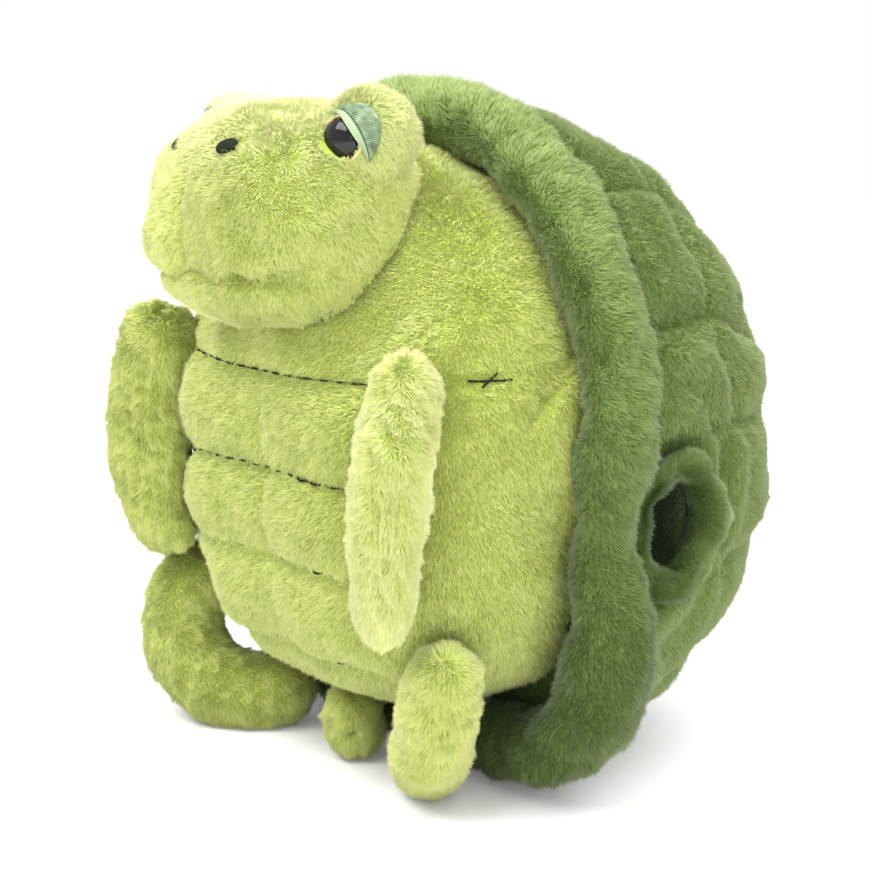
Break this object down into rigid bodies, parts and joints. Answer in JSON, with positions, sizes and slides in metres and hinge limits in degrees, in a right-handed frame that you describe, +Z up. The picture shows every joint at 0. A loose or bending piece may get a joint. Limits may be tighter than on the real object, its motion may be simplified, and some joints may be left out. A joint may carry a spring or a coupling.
{
  "type": "plush turtle",
  "caption": "Round plush turtle that sits upright, with a quilted shell behind it, a padded roll along the seam, a hand tunnel through the shell and soft flippers, legs and tail.",
  "frame": {"origin": "on the floor, on the middle line, where the flattened base of the shell rests", "axes": "+Z up, -Y the way the turtle looks, +X its own left side"},
  "size_m": [0.3628, 0.3607, 0.378],
  "materials": {
    "body_fur": "long-pile plush fur, yellow green, brushed, dull",
    "shell_fur": "long-pile plush fur, moss green, quilted, dull",
    "tunnel_fleece": "short-pile fleece lining, moss green, dull",
    "cotton_stuffing": "loose polyester fibre filling, off-white",
    "black_thread": "twisted embroidery thread, black, slight sheen",
    "satin_lid": "satin-stitch embroidery patch, mid green, soft sheen",
    "gold_ring": "moulded ring, pale gold, satin gloss",
    "black_eye": "moulded dome, black, high gloss",
    "white_plastic": "moulded lock washer, white, matte"
  },
  "bodies": {
    "torso": {"body_cover": "body_fur", "body_stuffing": "cotton_stuffing", "shell_cover": "shell_fur", "shell_stuffing": "cotton_stuffing", "roll_cover": "shell_fur", "roll_filling": "cotton_stuffing", "tunnel_lining": "tunnel_fleece", "cuff_left": "shell_fur", "cuff_right": "shell_fur", "stitch_chest": "black_thread", "stitch_upper": "black_thread", "stitch_lower": "black_thread", "stitch_bottom": "black_thread", "bartack_chest_left": "black_thread", "bartack_chest_right": "black_thread", "bartack_upper_left": "black_thread", "bartack_upper_right": "black_thread"},
    "neck": {"neck_seam": "body_fur"},
    "head": {"head_cover": "body_fur", "head_stuffing": "cotton_stuffing", "eye_left": "black_eye", "eye_right": "black_eye", "eye_ring_left": "gold_ring", "eye_ring_right": "gold_ring", "eye_washer_left": "white_plastic", "eye_washer_right": "white_plastic", "eyelid_left": "satin_lid", "eyelid_right": "satin_lid", "nostril_left": "black_thread", "nostril_right": "black_thread"},
    "flipper_left": {"flipper_left_cover": "body_fur", "flipper_left_stuffing": "cotton_stuffing"},
    "flipper_right": {"flipper_right_cover": "body_fur", "flipper_right_stuffing": "cotton_stuffing"},
    "leg_left": {"leg_left_cover": "body_fur", "leg_left_stuffing": "cotton_stuffing"},
    "leg_right": {"leg_right_cover": "body_fur", "leg_right_stuffing": "cotton_stuffing"},
    "tail": {"tail_cover": "body_fur", "tail_stuffing": "cotton_stuffing"}
  },
  "joints": [
    {"name": "head_nod", "type": "hinge", "parent": "torso", "child": "neck", "pos_m": [0, 0.003, 0.215], "axis": [1, 0, 0], "range_deg": [-5, 5], "stiffness_Nm_per_rad": 8},
    {"name": "head_turn", "type": "hinge", "parent": "neck", "child": "head", "pos_m": [0, 0.003, 0.215], "axis": [0, -0.8, 0.6], "range_deg": [-12, 12], "stiffness_Nm_per_rad": 1.5},
    {"name": "flipper_left_lift", "type": "hinge", "parent": "torso", "child": "flipper_left", "pos_m": [0.1162, -0.1312, 0.2292], "axis": [-0.8588, -0.5124, 0], "range_deg": [0, 75], "stiffness_Nm_per_rad": 0.3},
    {"name": "flipper_right_lift", "type": "hinge", "parent": "torso", "child": "flipper_right", "pos_m": [-0.1162, -0.1312, 0.2292], "axis": [-0.8588, 0.5124, 0], "range_deg": [0, 75], "stiffness_Nm_per_rad": 0.3},
    {"name": "leg_left_swing", "type": "hinge", "parent": "torso", "child": "leg_left", "pos_m": [0.1185, -0.1048, 0.0805], "axis": [0, 0, 1], "range_deg": [0, 60], "stiffness_Nm_per_rad": 0.3},
    {"name": "leg_right_swing", "type": "hinge", "parent": "torso", "child": "leg_right", "pos_m": [-0.1185, -0.1048, 0.0805], "axis": [0, 0, -1], "range_deg": [0, 60], "stiffness_Nm_per_rad": 0.3},
    {"name": "tail_wag", "type": "hinge", "parent": "torso", "child": "tail", "pos_m": [0, -0.0789, 0.0284], "axis": [0, 1, 0], "range_deg": [-20, 20], "stiffness_Nm_per_rad": 0.1}
  ]
}
